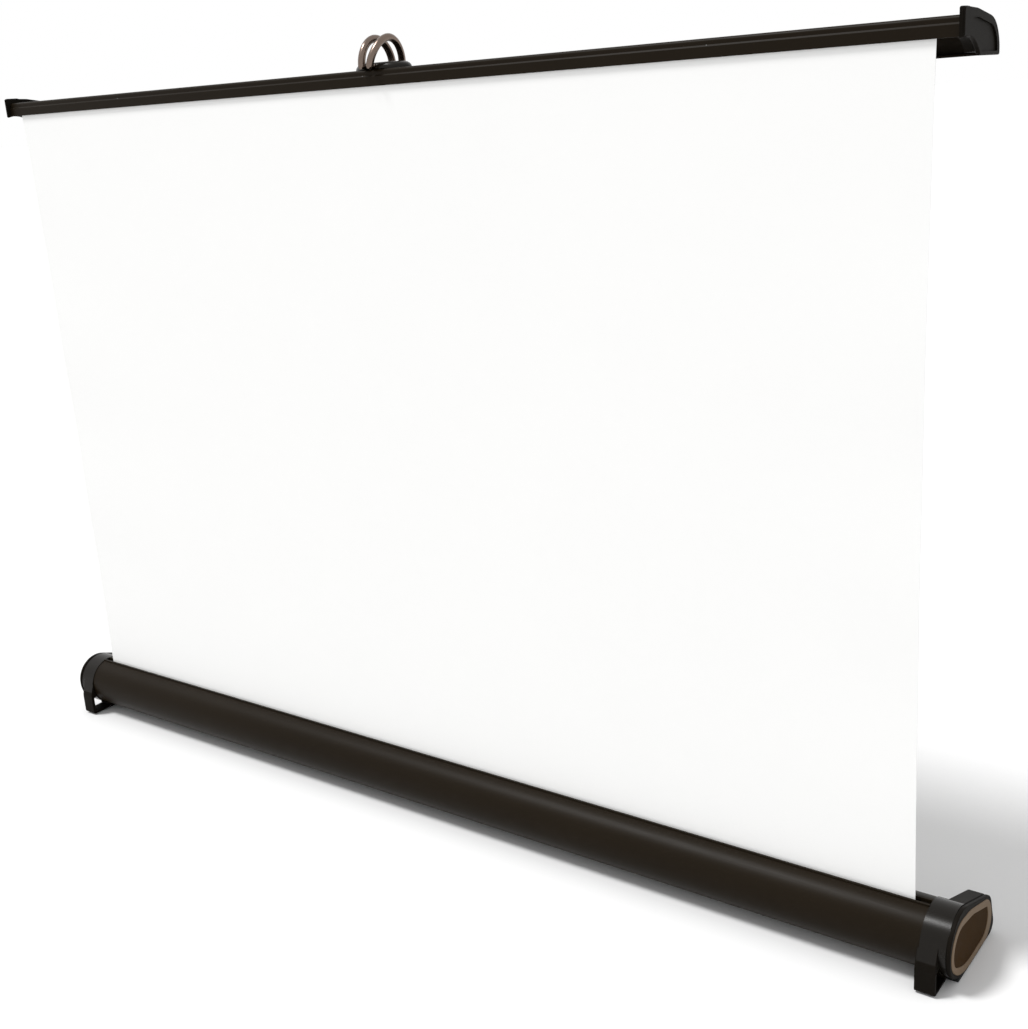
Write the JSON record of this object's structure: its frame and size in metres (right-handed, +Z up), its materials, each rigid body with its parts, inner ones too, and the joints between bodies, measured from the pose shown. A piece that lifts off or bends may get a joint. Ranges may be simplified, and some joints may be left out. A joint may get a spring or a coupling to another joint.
{
  "type": "tabletop projector screen",
  "caption": "Tabletop projection screen: a white sheet pulled up from a round housing with hooked feet and held by a folding diamond of geared arms under a hollow top rail with a wire handle.",
  "frame": {"origin": "middle of the footprint, on the surface it stands on, bottom centre of the bounding box", "axes": "+X along the housing towards the viewer's right when facing the sheet, +Y from the sheet's viewing side to its rear, +Z up"},
  "size_m": [0.928, 0.096, 0.6408],
  "materials": {
    "black_aluminium": "satin black anodised",
    "black_plastic": "semi-gloss black",
    "pale_trim": "matte beige grey",
    "dark_inset": "matte dark brown",
    "white_sheet": "matte white",
    "rubber": "matte black",
    "grey_steel": "plain zinc plated",
    "black_steel": "black coated",
    "polished_wire": "polished",
    "white_plastic": "plain off-white"
  },
  "bodies": {
    "housing": {"housing_tube": "black_aluminium", "end_cap_left": "black_plastic", "end_cap_right": "black_plastic", "trim_ring_left": "pale_trim", "trim_ring_right": "pale_trim", "end_inset_left": "dark_inset", "end_inset_right": "dark_inset", "cap_screw_left_1": "grey_steel", "cap_screw_left_2": "grey_steel", "cap_screw_left_3": "grey_steel", "cap_screw_right_1": "grey_steel", "cap_screw_right_2": "grey_steel", "cap_screw_right_3": "grey_steel", "front_pad_left": "rubber", "front_pad_right": "rubber", "rear_pad_left": "rubber", "rear_pad_right": "rubber", "spring_shaft": "grey_steel", "roller_spring": "black_steel", "roller_bearing_left": "white_plastic", "roller_bearing_right": "white_plastic", "screen_sheet": "white_sheet", "base_bracket": "grey_steel", "base_rivet_1": "grey_steel", "base_rivet_2": "grey_steel", "base_pivot_pin_1": "grey_steel", "base_pivot_pin_2": "grey_steel"},
    "roller": {"roller_tube": "grey_steel", "fabric_wrap": "white_sheet", "roller_plug_left": "white_plastic", "roller_plug_right": "white_plastic"},
    "arm_lower_right": {"lower_arm_right": "black_steel", "elbow_pin_right": "grey_steel", "elbow_washer_right": "white_plastic"},
    "arm_lower_left": {"lower_arm_left": "black_steel", "elbow_pin_left": "grey_steel", "elbow_washer_left": "white_plastic"},
    "arm_upper_right": {"upper_arm_right": "black_steel"},
    "arm_upper_left": {"upper_arm_left": "black_steel"},
    "rail": {"top_rail": "black_aluminium", "rail_cap_left": "black_plastic", "rail_cap_right": "black_plastic", "sheet_clamp": "grey_steel", "clamp_screw_1": "grey_steel", "clamp_screw_2": "grey_steel", "clamp_screw_3": "grey_steel", "rail_bracket": "grey_steel", "rail_pivot_pin_1": "grey_steel", "rail_pivot_pin_2": "grey_steel", "handle_base": "black_plastic", "handle_screw_1": "grey_steel", "handle_screw_2": "grey_steel"},
    "loop_left": {"handle_loop_left": "polished_wire"},
    "loop_right": {"handle_loop_right": "polished_wire"}
  },
  "joints": [
    {"name": "arm_fold", "type": "hinge", "parent": "housing", "child": "arm_lower_right", "pos_m": [0.012, 0.0114, 0.023], "axis": [0, 1, 0], "range_deg": [0, 44.66], "deforming": ["screen_sheet"]},
    {"name": "arm_fold_left", "type": "hinge", "parent": "housing", "child": "arm_lower_left", "pos_m": [-0.012, 0.0114, 0.023], "axis": [0, 1, 0], "range_deg": [-44.67, 0]},
    {"name": "elbow_right", "type": "hinge", "parent": "arm_lower_right", "child": "arm_upper_right", "pos_m": [0.28581, 0.0147, 0.3077], "axis": [0, 1, 0], "range_deg": [-89.34, 0]},
    {"name": "elbow_left", "type": "hinge", "parent": "arm_lower_left", "child": "arm_upper_left", "pos_m": [-0.28581, 0.0147, 0.3077], "axis": [0, 1, 0], "range_deg": [0, 89.34]},
    {"name": "rail_level", "type": "hinge", "parent": "arm_upper_right", "child": "rail", "pos_m": [0.012, 0.0147, 0.5924], "axis": [0, 1, 0], "range_deg": [0, 44.67]},
    {"name": "roller_spin", "type": "hinge", "parent": "housing", "child": "roller", "pos_m": [0, -0.01117, 0.0297], "axis": [1, 0, 0], "range_deg": [0, 3000]},
    {"name": "loop_left_fold", "type": "hinge", "parent": "rail", "child": "loop_left", "pos_m": [0.0031, -0.0078, 0.61822], "axis": [0, 1, 0], "range_deg": [-62, 0]},
    {"name": "loop_right_fold", "type": "hinge", "parent": "rail", "child": "loop_right", "pos_m": [0.0116, -0.0078, 0.61822], "axis": [0, 1, 0], "range_deg": [-12, 50]}
  ],
  "couplings": [
    {"joint": "arm_fold_left", "follows": "arm_fold", "ratio": -1},
    {"joint": "elbow_right", "follows": "arm_fold", "ratio": -2},
    {"joint": "elbow_left", "follows": "arm_fold", "ratio": 2},
    {"joint": "rail_level", "follows": "arm_fold", "ratio": 1},
    {"joint": "roller_spin", "follows": "arm_fold", "ratio": 67}
  ]
}
